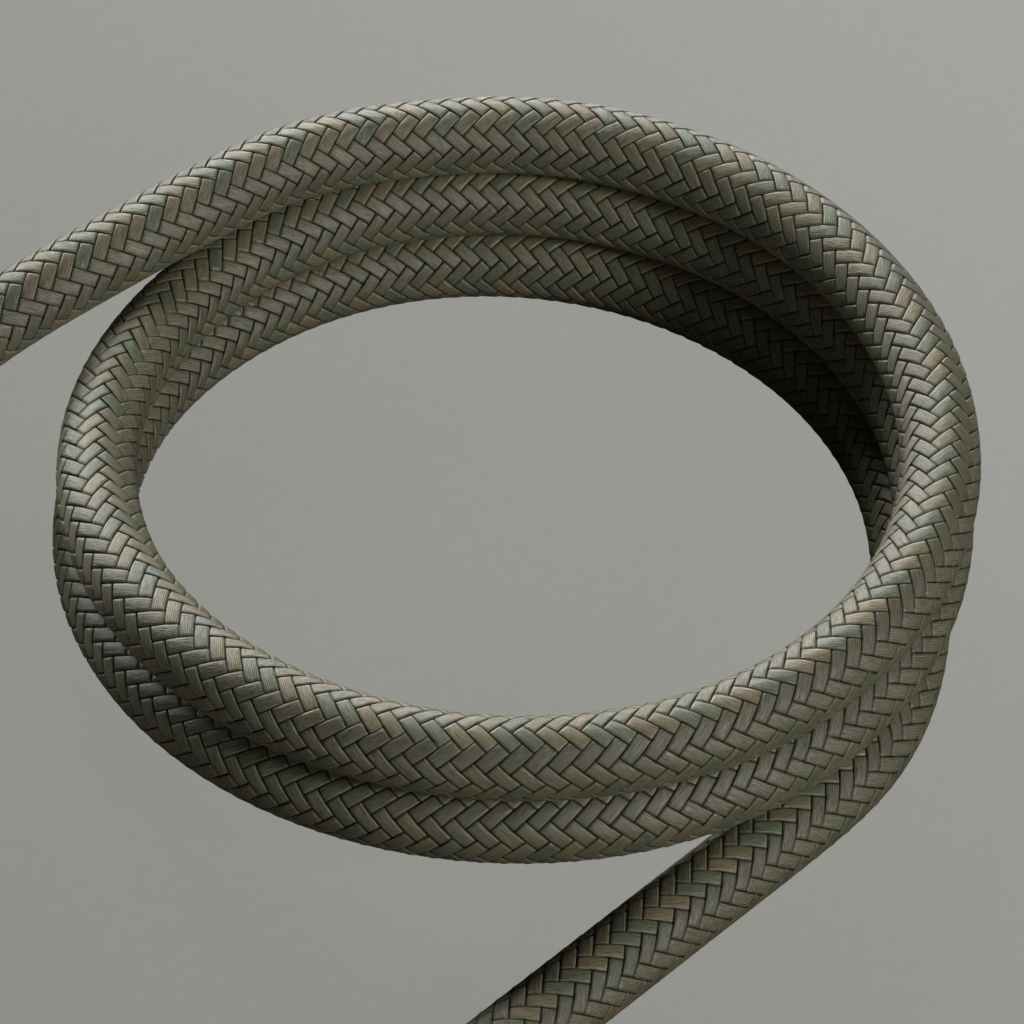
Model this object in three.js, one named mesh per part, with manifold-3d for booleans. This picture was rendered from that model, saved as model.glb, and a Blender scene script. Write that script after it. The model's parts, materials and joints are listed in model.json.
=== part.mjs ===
// A braided charging cable: a thick woven cord wound in a loose stack of turns, with the same
// reversible plug on each end and its spare length put away in a tied coil. Millimetres, +Z up.
// Origin: the middle of the main coil's base, on the surface that the cable lies on.

import * as THREE from 'three';
import { mergeVertices } from 'three/addons/utils/BufferGeometryUtils.js';
import Module from 'manifold-3d';

const wasm = await Module();
wasm.setup();

// ---- Driving dimensions ----

const CORD_DIAMETER = 5;
const CORD_SIDES = 10;
const GAP = 0.3; // left between pieces that meet

// Main coil: three turns high, its turns between these radii.
const MAIN_COIL = { inner: 22.9, outer: 29.3, bottom: 0, top: 3 * CORD_DIAMETER, x: 0, y: 0 };

// Tie round the spare coil, and the coil that it lifts by its own thickness.
const TIE = { thickness: 0.6, width: 8, angle: 210, corner: 1.8 };
const SPARE_BASE = TIE.thickness + GAP;
const SPARE_RADIUS = 26;
const SPARE_HALF_WIDTH = 2.6;
const SPARE_COIL = {
  inner: SPARE_RADIUS - SPARE_HALF_WIDTH,
  outer: SPARE_RADIUS + SPARE_HALF_WIDTH,
  bottom: SPARE_BASE,
  top: SPARE_BASE + 3 * CORD_DIAMETER,
  x: -1,
  y: -82,
};
const COIL_SEGMENTS = 36;
const COIL_CORNER = 1.6;

// Cord routes, as centreline points.
const LEAD_ROUTE = [
  [-42.5, -10, 3.6],
  [-42.4, -6, 3.6],
  [-41.4, -1, 4.3],
  [-39.1, 3.8, 6.0],
  [-36.4, 7.3, 7.7],
  [-33, 10, 9.3],
  [-27.2, 14, 11.1],
  [-21.2, 18.6, 12.1],
  [-15.2, 22.9, 12.5],
];
const TAIL_ROUTE = [
  [22.5, -15.7, 2.5],
  [18.6, -20.9, 2.5],
  [13, -27.2, 2.5],
  [7.2, -33.7, 2.5],
  [1.4, -40.2, 2.5],
  [-4.4, -46.7, 2.5],
  [-9.8, -52.8, 2.6],
  [-15.3, -58.9, 2.9],
  [-20.4, -64.7, 3.3],
];
const END_ROUTE = [
  [5.7, -107.1, 13.4],
  [13.4, -105.1, 12.9],
  [21.5, -103, 11.2],
  [29.6, -100.6, 8.7],
  [36.2, -97.2, 6.4],
  [41, -92.3, 4.7],
  [43.8, -86.3, 3.8],
  [44.7, -81, 3.6],
  [44.7, -77, 3.6],
];
const STEP_LENGTH = 2 * CORD_DIAMETER;

// Plug, measured along its own axis from the cord's end of the strain relief to the tip.
const HOUSING = { width: 12.4, height: 7.2, corner: 3.3, wall: 0.7 };
const RELIEF = { to: 9.7, mouth: 2.75, collar: 3.05, segments: 14 };
const RIB = { count: 5, from: 0.4, pitch: 1.8, flank: 0.15, crest: 0.7 };
const RIB_HEIGHT = { radius: 3.0, growth: 0.05, depth: 0.25 };
const REAR_CAP = { from: 10, to: 11.2 };
const SLEEVE = { from: 11.5, to: 31.5 };
const BEZEL = { from: 31.8, to: 33 };
const SHELL = { from: 27.2, to: 39.65, width: 8.25, height: 2.4, wall: 0.3 };
const JACKET = { radius: 2.3, from: 0.3, to: 13.5 };
const FERRULE = { inner: 2.5, outer: 2.75, from: 11.6, to: 14.4 };
const WIRE_REACH = { from: 13.8, to: 19.6, clearance: 0.15 };
const WIRES = [
  { name: 'power_wire', radius: 0.55, y: -1.15, z: 0.95, color: 0x8c2f26 },
  { name: 'ground_wire', radius: 0.55, y: 1.15, z: 0.95, color: 0x202020 },
  { name: 'data_wire_plus', radius: 0.3, y: -1.3, z: -0.7, color: 0x3f6d45 },
  { name: 'control_wire', radius: 0.3, y: 0, z: -0.7, color: 0x3b5f94 },
  { name: 'data_wire_minus', radius: 0.3, y: 1.3, z: -0.7, color: 0xc9c9c4 },
];
const WIRE_BLOCK = { from: 14.7, to: 17.7, width: 9, height: 5, corner: 2 };
const CARD = { from: 18, to: 27, width: 8, thickness: 0.6 };
const CHIP = { size: 2.4, height: 0.6, x: 23, solder: 0.05 };
const SHIELD = { from: 18.2, to: 26.8, width: 9.4, height: 5.2, corner: 2, wall: 0.25, split: 0.55 };
const INSERT = { from: 28, to: 38.7, width: 7.3, height: 1.45, slotWidth: 6.7, slotHeight: 0.95 };
const CONTACT = { count: 12, pitch: 0.5, width: 0.25, thickness: 0.12, from: 26.2, to: 37.8, z: 0.38 };
const CONTACT_STRIP = { from: 28.4, to: 29.1 };
const LATCH = { from: 28.4, bridge: 29.6, to: 37.6, reach: 3.25, arm: 0.35, thickness: 0.2 };
const LATCH_TOOTH = { run: 0.8, height: 0.25 };
const SPRING = { from: 30.2, to: 35.2, width: 5.4, thickness: 0.1, z: 0.81 };
const SPRING_WINDOW = { from: 31.2, to: 34.4, y: 1.35, halfWidth: 0.8 };
const CORNER_STEPS = 5;

const PLUG_A = { x: -42.5, y: -10, turn: -90 };
const PLUG_B = { x: 44.7, y: -77, turn: 90 };

// ---- Materials ----

const braid = { color: 0x6d6a5c, roughness: 0.7, metalness: 0 };
const darkRubber = { color: 0x2c2c2a, roughness: 0.8, metalness: 0 };
const anodised = { color: 0x5c5d5a, roughness: 0.4, metalness: 1 };
const steel = { color: 0xb9bab8, roughness: 0.25, metalness: 1 };
const gold = { color: 0xd8b25a, roughness: 0.25, metalness: 1 };
const blackPlastic = { color: 0x191a1b, roughness: 0.5, metalness: 0 };
const boardGreen = { color: 0x1f4a33, roughness: 0.5, metalness: 0 };
const milkyPlastic = { color: 0xcfccc0, roughness: 0.6, metalness: 0 };
const tieFabric = { color: 0x33332f, roughness: 0.9, metalness: 0 };

const group = new THREE.Group();

function addMesh(parent, name, geometry, look) {
  const mesh = new THREE.Mesh(geometry, new THREE.MeshStandardMaterial(look));
  mesh.name = name;
  parent.add(mesh);
  return mesh;
}

// ---- Shape helpers ----

const X = new THREE.Vector3(1, 0, 0);
const Y = new THREE.Vector3(0, 1, 0);
const Z = new THREE.Vector3(0, 0, 1);

function trace(path, width, height, corner) {
  const w = width / 2;
  const h = height / 2;
  const r = Math.min(corner, w, h);
  path.moveTo(w, -h + r);
  path.lineTo(w, h - r);
  path.absarc(w - r, h - r, r, 0, Math.PI / 2);
  path.lineTo(-w + r, h);
  path.absarc(-w + r, h - r, r, Math.PI / 2, Math.PI);
  path.lineTo(-w, -h + r);
  path.absarc(-w + r, -h + r, r, Math.PI, 1.5 * Math.PI);
  path.lineTo(w - r, -h);
  path.absarc(w - r, -h + r, r, 1.5 * Math.PI, 2 * Math.PI);
  return path;
}

function roundedShape(width, height, corner) {
  return trace(new THREE.Shape(), width, height, corner);
}

function roundedHole(width, height, corner) {
  return trace(new THREE.Path(), width, height, corner);
}

function roundHole(radius, x = 0, y = 0) {
  return new THREE.Path().absarc(x, y, radius, 0, 2 * Math.PI);
}

// A section in the plug's own Y and Z, drawn out along its X.
function alongX(shape, from, to) {
  const settings = { depth: to - from, bevelEnabled: false, curveSegments: CORNER_STEPS };
  const geometry = new THREE.ExtrudeGeometry(shape, settings);
  geometry.applyMatrix4(new THREE.Matrix4().makeBasis(Y, Z, X));
  return geometry.translate(from, 0, 0);
}

// An outline in the plug's own X and Y, given a thickness about height z.
function plate(shape, thickness, z) {
  const geometry = new THREE.ExtrudeGeometry(shape, { depth: thickness, bevelEnabled: false });
  return geometry.translate(0, 0, z - thickness / 2);
}

function outline(points) {
  return new THREE.Shape(points.map(([x, y]) => new THREE.Vector2(x, y)));
}

// A closed profile of [distance along the axis, radius], turned about the plug's own X.
function turnedAboutX(profile, segments) {
  const closed = [...profile, profile[0]].map(([x, r]) => new THREE.Vector2(r, x));
  const geometry = new THREE.LatheGeometry(closed, segments);
  return geometry.applyMatrix4(new THREE.Matrix4().makeBasis(Y, X, Z.clone().negate()));
}

// A ring with a rounded section, about the upright axis through its own x and y.
function coilRing(coil, grow = 0) {
  const width = coil.outer - coil.inner + 2 * grow;
  const height = coil.top - coil.bottom + 2 * grow;
  const section = roundedShape(width, height, COIL_CORNER).getPoints(2);
  const middle = new THREE.Vector2((coil.inner + coil.outer) / 2, (coil.bottom + coil.top) / 2);
  const profile = section.map((point) => point.add(middle));
  profile.push(profile[0]);
  const geometry = new THREE.LatheGeometry(profile, COIL_SEGMENTS);
  geometry.applyMatrix4(new THREE.Matrix4().makeBasis(X, Z, Y.clone().negate()));
  return geometry.translate(coil.x, coil.y, 0);
}

function toSolid(geometry) {
  const bare = geometry.clone();
  bare.deleteAttribute('normal');
  bare.deleteAttribute('uv');
  const merged = mergeVertices(bare, 1e-3);
  const vertProperties = Float32Array.from(merged.attributes.position.array);
  const triVerts = Uint32Array.from(merged.index.array);
  return new wasm.Manifold(new wasm.Mesh({ numProp: 3, vertProperties, triVerts }));
}

function fromSolid(solid) {
  const mesh = solid.getMesh();
  const geometry = new THREE.BufferGeometry();
  geometry.setAttribute('position', new THREE.BufferAttribute(mesh.vertProperties, 3));
  geometry.setIndex(new THREE.BufferAttribute(mesh.triVerts, 1));
  geometry.computeVertexNormals();
  return geometry;
}

// ---- Cord ----

function cordTube(route) {
  const curve = new THREE.CatmullRomCurve3(route.map((point) => new THREE.Vector3(...point)));
  const corners = [];
  for (let i = 0; i < CORD_SIDES; i += 1) {
    const angle = (2 * Math.PI * i) / CORD_SIDES;
    corners.push([(CORD_DIAMETER / 2) * Math.cos(angle), (CORD_DIAMETER / 2) * Math.sin(angle)]);
  }
  const steps = Math.max(3, Math.round(curve.getLength() / STEP_LENGTH));
  return new THREE.ExtrudeGeometry(outline(corners), { steps, extrudePath: curve, bevelEnabled: false });
}

// A free stretch, with what already lies in the coils beside it taken off.
function freeStretch(name, route, coils) {
  let solid = toSolid(cordTube(route));
  for (const coil of coils) {
    solid = solid.subtract(toSolid(coilRing(coil, GAP)));
  }
  addMesh(group, name, fromSolid(solid), braid);
}

function addCord() {
  const lead = LEAD_ROUTE.map(([x, y, z], i) => [x, i === 0 ? y + GAP : y, z]);
  const end = END_ROUTE.map(([x, y, z], i) => [x, i === END_ROUTE.length - 1 ? y - GAP : y, z]);
  freeStretch('cord_lead', lead, [MAIN_COIL]);
  addMesh(group, 'cord_main_coil', coilRing(MAIN_COIL), braid);
  freeStretch('cord_tail', TAIL_ROUTE, [MAIN_COIL, SPARE_COIL]);
  addMesh(group, 'cord_spare_coil', coilRing(SPARE_COIL), braid);
  freeStretch('cord_end', end, [SPARE_COIL]);
}

function addTie() {
  const height = SPARE_COIL.top - SPARE_COIL.bottom + 2 * GAP;
  const width = SPARE_COIL.outer - SPARE_COIL.inner + 4 * GAP;
  const band = roundedShape(width + 2 * TIE.thickness, height + 2 * TIE.thickness, TIE.corner);
  band.holes.push(roundedHole(width, height, TIE.corner - TIE.thickness));
  const tie = addMesh(group, 'spare_coil_tie', alongX(band, -TIE.width / 2, TIE.width / 2), tieFabric);
  const angle = THREE.MathUtils.degToRad(TIE.angle);
  tie.position.set(
    SPARE_COIL.x + SPARE_RADIUS * Math.cos(angle),
    SPARE_COIL.y + SPARE_RADIUS * Math.sin(angle),
    height / 2 + TIE.thickness,
  );
  tie.rotation.z = angle + Math.PI / 2;
}

// ---- Plug ----

function addHousing(plug, name) {
  const bore = JACKET.radius + GAP;
  const relief = [[0, bore], [0, RELIEF.mouth]];
  for (let i = 0; i < RIB.count; i += 1) {
    const start = RIB.from + i * RIB.pitch;
    const crest = RIB_HEIGHT.radius + i * RIB_HEIGHT.growth;
    const foot = crest - RIB_HEIGHT.depth;
    relief.push([start, foot]);
    relief.push([start + RIB.flank, crest]);
    relief.push([start + RIB.flank + RIB.crest, crest]);
    relief.push([start + 2 * RIB.flank + RIB.crest, foot]);
  }
  relief.push([RELIEF.to, RELIEF.collar], [RELIEF.to, bore]);
  addMesh(plug, `${name}_strain_relief`, turnedAboutX(relief, RELIEF.segments), darkRubber);

  const rearCap = roundedShape(HOUSING.width, HOUSING.height, HOUSING.corner);
  rearCap.holes.push(roundHole(bore));
  addMesh(plug, `${name}_rear_cap`, alongX(rearCap, REAR_CAP.from, REAR_CAP.to), blackPlastic);

  const sleeve = roundedShape(HOUSING.width, HOUSING.height, HOUSING.corner);
  const inside = 2 * HOUSING.wall;
  sleeve.holes.push(
    roundedHole(HOUSING.width - inside, HOUSING.height - inside, HOUSING.corner - HOUSING.wall),
  );
  addMesh(plug, `${name}_housing_sleeve`, alongX(sleeve, SLEEVE.from, SLEEVE.to), anodised);

  const bezel = roundedShape(HOUSING.width, HOUSING.height, HOUSING.corner);
  const slotWidth = SHELL.width + GAP;
  const slotHeight = SHELL.height + GAP;
  bezel.holes.push(roundedHole(slotWidth, slotHeight, slotHeight / 2));
  addMesh(plug, `${name}_front_bezel`, alongX(bezel, BEZEL.from, BEZEL.to), blackPlastic);
}

function addCordEnd(plug, name) {
  const length = JACKET.to - JACKET.from;
  const jacket = new THREE.CylinderGeometry(JACKET.radius, JACKET.radius, length, RELIEF.segments);
  jacket.applyMatrix4(new THREE.Matrix4().makeBasis(Y, X, Z.clone().negate()));
  jacket.translate((JACKET.from + JACKET.to) / 2, 0, 0);
  addMesh(plug, `${name}_jacket_end`, jacket, darkRubber);

  const ferrule = new THREE.Shape().absarc(0, 0, FERRULE.outer, 0, 2 * Math.PI);
  ferrule.holes.push(roundHole(FERRULE.inner));
  addMesh(plug, `${name}_crimp_ferrule`, alongX(ferrule, FERRULE.from, FERRULE.to), steel);

  const block = roundedShape(WIRE_BLOCK.width, WIRE_BLOCK.height, WIRE_BLOCK.corner);
  for (const wire of WIRES) {
    block.holes.push(roundHole(wire.radius + WIRE_REACH.clearance, wire.y, wire.z));
    const section = new THREE.Shape().absarc(wire.y, wire.z, wire.radius, 0, 2 * Math.PI);
    const look = { color: wire.color, roughness: 0.5, metalness: 0 };
    addMesh(plug, `${name}_${wire.name}`, alongX(section, WIRE_REACH.from, WIRE_REACH.to), look);
  }
  addMesh(plug, `${name}_inner_mould`, alongX(block, WIRE_BLOCK.from, WIRE_BLOCK.to), milkyPlastic);
}

function addBoard(plug, name) {
  const length = CARD.to - CARD.from;
  const card = new THREE.BoxGeometry(length, CARD.width, CARD.thickness);
  card.translate(CARD.from + length / 2, 0, 0);
  addMesh(plug, `${name}_paddle_card`, card, boardGreen);

  const chip = new THREE.BoxGeometry(CHIP.size, CHIP.size, CHIP.height);
  chip.translate(CHIP.x, 0, CARD.thickness / 2 + CHIP.solder + CHIP.height / 2);
  addMesh(plug, `${name}_marker_chip`, chip, blackPlastic);

  const w = SHIELD.width / 2;
  const h = SHIELD.height / 2;
  const wall = SHIELD.wall;
  const corner = SHIELD.corner;
  const split = SHIELD.split;
  for (const [side, sign] of [['upper', 1], ['lower', -1]]) {
    const half = new THREE.Shape();
    half.moveTo(w, split);
    half.lineTo(w, h - corner);
    half.absarc(w - corner, h - corner, corner, 0, Math.PI / 2);
    half.lineTo(-w + corner, h);
    half.absarc(-w + corner, h - corner, corner, Math.PI / 2, Math.PI);
    half.lineTo(-w, split);
    half.lineTo(-w + wall, split);
    half.lineTo(-w + wall, h - corner);
    half.absarc(-w + corner, h - corner, corner - wall, Math.PI, Math.PI / 2, true);
    half.lineTo(w - corner, h - wall);
    half.absarc(w - corner, h - corner, corner - wall, Math.PI / 2, 0, true);
    half.lineTo(w - wall, split);
    const shield = alongX(half, SHIELD.from, SHIELD.to);
    if (sign < 0) {
      shield.translate(-(SHIELD.from + SHIELD.to) / 2, 0, 0);
      shield.rotateX(Math.PI);
      shield.translate((SHIELD.from + SHIELD.to) / 2, 0, 0);
    }
    addMesh(plug, `${name}_shield_can_${side}`, shield, steel);
  }
}

// One row of contacts, joined at the back by the strip that they are moulded into.
function contactRow() {
  const half = ((CONTACT.count - 1) * CONTACT.pitch) / 2;
  const back = CONTACT_STRIP.from;
  const front = CONTACT_STRIP.to;
  const points = [];
  for (let i = 0; i < CONTACT.count; i += 1) {
    const y = -half + i * CONTACT.pitch;
    const low = y - CONTACT.width / 2;
    const high = y + CONTACT.width / 2;
    points.push([front, low], [CONTACT.to, low], [CONTACT.to, high], [front, high]);
  }
  for (let i = CONTACT.count - 1; i >= 0; i -= 1) {
    const y = -half + i * CONTACT.pitch;
    const low = y - CONTACT.width / 2;
    const high = y + CONTACT.width / 2;
    points.push([back, high], [CONTACT.from, high], [CONTACT.from, low], [back, low]);
  }
  return outline(points);
}

function addNose(plug, name) {
  const shell = roundedShape(SHELL.width, SHELL.height, SHELL.height / 2);
  const inside = SHELL.height - 2 * SHELL.wall;
  shell.holes.push(roundedHole(SHELL.width - 2 * SHELL.wall, inside, inside / 2));
  addMesh(plug, `${name}_plug_shell`, alongX(shell, SHELL.from, SHELL.to), steel);

  const insert = roundedShape(INSERT.width, INSERT.height, INSERT.height / 2);
  insert.holes.push(roundedHole(INSERT.slotWidth, INSERT.slotHeight, 0.2));
  addMesh(plug, `${name}_contact_insert`, alongX(insert, INSERT.from, INSERT.to), blackPlastic);

  addMesh(plug, `${name}_contacts_upper`, plate(contactRow(), CONTACT.thickness, CONTACT.z), gold);
  addMesh(plug, `${name}_contacts_lower`, plate(contactRow(), CONTACT.thickness, -CONTACT.z), gold);

  const reach = LATCH.reach;
  const inner = reach - LATCH.arm;
  const peak = LATCH.to - LATCH_TOOTH.run;
  const root = LATCH.to - 2 * LATCH_TOOTH.run;
  const latch = outline([
    [LATCH.from, -reach],
    [LATCH.to, -reach],
    [LATCH.to, -inner],
    [peak, -inner + LATCH_TOOTH.height],
    [root, -inner],
    [LATCH.bridge, -inner],
    [LATCH.bridge, inner],
    [root, inner],
    [peak, inner - LATCH_TOOTH.height],
    [LATCH.to, inner],
    [LATCH.to, reach],
    [LATCH.from, reach],
  ]);
  addMesh(plug, `${name}_latch_spring`, plate(latch, LATCH.thickness, 0), steel);

  for (const [side, sign] of [['upper', 1], ['lower', -1]]) {
    const w = SPRING.width / 2;
    const spring = outline([[SPRING.from, -w], [SPRING.to, -w], [SPRING.to, w], [SPRING.from, w]]);
    for (const y of [-SPRING_WINDOW.y, SPRING_WINDOW.y]) {
      const hole = new THREE.Path();
      hole.moveTo(SPRING_WINDOW.from, y - SPRING_WINDOW.halfWidth);
      hole.lineTo(SPRING_WINDOW.from, y + SPRING_WINDOW.halfWidth);
      hole.lineTo(SPRING_WINDOW.to, y + SPRING_WINDOW.halfWidth);
      hole.lineTo(SPRING_WINDOW.to, y - SPRING_WINDOW.halfWidth);
      spring.holes.push(hole);
    }
    const finger = plate(spring, SPRING.thickness, sign * SPRING.z);
    addMesh(plug, `${name}_ground_spring_${side}`, finger, steel);
  }
}

function addPlug(name, place) {
  const plug = new THREE.Group();
  plug.position.set(place.x, place.y, HOUSING.height / 2);
  plug.rotation.z = THREE.MathUtils.degToRad(place.turn);
  group.add(plug);
  addHousing(plug, name);
  addCordEnd(plug, name);
  addBoard(plug, name);
  addNose(plug, name);
}

addCord();
addTie();
addPlug('plug_a', PLUG_A);
addPlug('plug_b', PLUG_B);

export default group;
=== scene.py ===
import json
import math

import bmesh
import bpy
import numpy as np
from mathutils import Matrix, Vector


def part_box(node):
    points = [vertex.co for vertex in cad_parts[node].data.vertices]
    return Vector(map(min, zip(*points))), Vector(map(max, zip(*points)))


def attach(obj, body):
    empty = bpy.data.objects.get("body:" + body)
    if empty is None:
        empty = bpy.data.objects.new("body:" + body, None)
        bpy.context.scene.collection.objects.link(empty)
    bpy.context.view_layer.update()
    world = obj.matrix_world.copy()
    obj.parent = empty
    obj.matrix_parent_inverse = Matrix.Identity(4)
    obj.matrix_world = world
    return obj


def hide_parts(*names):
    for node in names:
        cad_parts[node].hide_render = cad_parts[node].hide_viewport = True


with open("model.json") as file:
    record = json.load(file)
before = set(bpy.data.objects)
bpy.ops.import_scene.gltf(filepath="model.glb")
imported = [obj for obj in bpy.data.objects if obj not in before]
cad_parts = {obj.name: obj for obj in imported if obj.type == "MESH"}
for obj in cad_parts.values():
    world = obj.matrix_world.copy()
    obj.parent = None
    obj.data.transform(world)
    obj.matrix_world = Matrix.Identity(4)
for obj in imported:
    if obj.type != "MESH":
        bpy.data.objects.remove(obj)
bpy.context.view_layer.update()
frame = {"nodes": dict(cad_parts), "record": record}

MM = 0.001
SEED = 7

# ---- The cord's own sizes, all worked out from its diameter ----

THICK = 5  # the cord's thickness in millimetres, and the step from one turn of a coil to the next
CORD = THICK * MM
LAY = 3.25 * CORD  # one whole turn of a yarn round the cord
CARRIERS = 12  # yarns each way
CROSSING = LAY / (2 * CARRIERS)  # from one crossing to the next, along the cord
CELL_ANGLE = 180 / CARRIERS  # degrees round the cord from one crossing to the next
TOP_CELL = 1.5  # the crossing that lies on the cord's upper side
YARN_WIDTH = 0.975  # share of the room between two neighbours
YARN_THICKNESS = 0.040 * CORD
WEAVE_DEPTH = 0.021 * CORD  # how far a yarn rises and falls
STEEPNESS = 6.4  # how quickly a yarn drops at the end of each float
FLOAT_RISE = 0.4  # how much higher a yarn stands at the middle of a float, in weave depths
BRAID_RADIUS = 0.507 * CORD - (1 + FLOAT_RISE) * WEAVE_DEPTH - YARN_THICKNESS / 2
JACKET_RADIUS = 0.425 * CORD

# ---- The cord's route, the same as in the part ----

LEAD_ROUTE = [
    (-42.5, -10, 3.6), (-42.4, -6, 3.6), (-41.4, -1, 4.3), (-39.1, 3.8, 6.0), (-36.4, 7.3, 7.7),
    (-33, 10, 9.3), (-27.2, 14, 11.1), (-21.2, 18.6, 12.1), (-15.2, 22.9, 12.5),
]
TAIL_ROUTE = [
    (22.5, -15.7, 2.5), (18.6, -20.9, 2.5), (13, -27.2, 2.5), (7.2, -33.7, 2.5), (1.4, -40.2, 2.5),
    (-4.4, -46.7, 2.5), (-9.8, -52.8, 2.6), (-15.3, -58.9, 2.9), (-20.4, -64.7, 3.3),
]
END_ROUTE = [
    (5.7, -107.1, 13.4), (13.4, -105.1, 12.9), (21.5, -103, 11.2), (29.6, -100.6, 8.7),
    (36.2, -97.2, 6.4), (41, -92.3, 4.7), (43.8, -86.3, 3.8), (44.7, -81, 3.6), (44.7, -77, 3.6),
]
COIL_STEP = 15  # degrees from one route point to the next in a coil
MAIN_FIRST, MAIN_LAST = -105, 720  # degrees, clockwise from +X
MAIN_TOP = 2.5 * THICK  # height of the top turn's middle
MAIN_DROPS, MAIN_DROP_RUN = (60, 420), 180  # degrees where each step down starts, and how long it is
# Radius from -90, each 90 degrees. A fit to the coil's edges in the photograph gave these, rounded.
MAIN_RADII = [26.8, 26.3, 25.8, 25.8, 26.2, 26.4, 26.5, 26.0, 25.4, 25.5]
SPARE_CENTRE = (-1, -82)
SPARE_RADIUS = 26
SPARE_START, SPARE_TURN = 138.2, 855  # degrees, anticlockwise
SPARE_RISES, SPARE_RISE_RUN = (240, 600), 120  # degrees where each step up starts, and how long it is
TIE_ANGLE, TIE_LIFT = 210, 0.9  # degrees from +X, and how far the tie lifts the turns
ROUTE_STEPS = 16  # places from one route point to the next
ROUTE_EXTRA = 4  # places a millimetre apart that carry the route on past each end
BRAID_START = 3.1 * MM  # how far the weave has run where the cord begins
# How the sleeve has shifted on the cord: (millimetres along it, shift along it, degrees round it).
# From 20 to 475 mm a pattern match against the photograph gave these, thinned out and rounded.
BRAID_SLIP = [
    (-10, -1.5, 5), (20, -1.3, 5), (42, 0.4, 10), (80, 0.1, 8), (122, -0.4, 13), (150, 0.2, 3),
    (166, 0.4, 12), (187, -0.4, 3), (206, 0.2, -6), (226, 0.4, 4), (266, 0, 15), (290, -0.4, 14),
    (326, 0.3, 11), (372, -0.4, -6), (400, -0.1, -3), (432, 0.2, 14), (450, 0.1, 14), (461, 0.1, 4),
    (475, -0.1, 9), (560, 0, 5), (700, 0, 5), (1000, 0, 5),
]
END_RUN = 0.28 * MM  # how far the jacket runs into each plug's strain relief
BRAID_RUN = 2.5 * MM  # how far the braid runs into it


def ease(t):
    """From 0 to 1 with no kink at either end."""
    t = np.clip(t, 0, 1)
    return t**3 * (t * (6 * t - 15) + 10)


def spline(points, steps):
    """A smooth curve with even curvature through the points, steps places from each to the next."""
    p = np.array(points, float)
    t = np.concatenate([[0], np.cumsum(np.linalg.norm(np.diff(p, axis=0), axis=1))])
    h, count = np.diff(t), len(p)
    a, b = np.eye(count), np.zeros_like(p)
    for i in range(1, count - 1):
        a[i, i - 1:i + 2] = h[i - 1], 2 * (h[i - 1] + h[i]), h[i]
        b[i] = 6 * ((p[i + 1] - p[i]) / h[i] - (p[i] - p[i - 1]) / h[i - 1])
    bend = np.linalg.solve(a, b)
    out = []
    for i in range(count - 1):
        for x in np.linspace(0, h[i], steps, endpoint=False):
            y = h[i] - x
            out.append(
                bend[i] * y**3 / (6 * h[i]) + bend[i + 1] * x**3 / (6 * h[i])
                + (p[i] / h[i] - bend[i] * h[i] / 6) * y + (p[i + 1] / h[i] - bend[i + 1] * h[i] / 6) * x
            )
    return np.array([*out, p[-1]])


def main_coil():
    """Three turns, each level at the back and right, stepping down a diameter at the front and left."""
    quarter = np.arange(len(MAIN_RADII)) * 90 - 90
    fine = spline([(q, r) for q, r in zip(quarter, MAIN_RADII)], 12)
    turned = np.arange(MAIN_FIRST, MAIN_LAST + 1, COIL_STEP)
    radius = np.interp(turned, fine[:, 0], fine[:, 1])
    drop = sum(ease((turned - start) / MAIN_DROP_RUN) for start in MAIN_DROPS)
    angle = np.radians(-turned)
    return np.column_stack([radius * np.cos(angle), radius * np.sin(angle), MAIN_TOP - THICK * drop])


def spare_coil():
    """The length put away: turns that step up a diameter each, lifted at one side by the tie."""
    turned = np.arange(COIL_STEP, SPARE_TURN + 1, COIL_STEP)
    angle = np.radians(SPARE_START + turned)
    rise = sum(ease((turned - start) / SPARE_RISE_RUN) for start in SPARE_RISES)
    from_tie = (1 - np.cos(angle - math.radians(TIE_ANGLE))) / 2
    z = THICK / 2 + THICK * rise + TIE_LIFT * (1 - from_tie**2)
    x = SPARE_CENTRE[0] + SPARE_RADIUS * np.cos(angle)
    y = SPARE_CENTRE[1] + SPARE_RADIUS * np.sin(angle)
    return np.column_stack([x, y, z])


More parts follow.
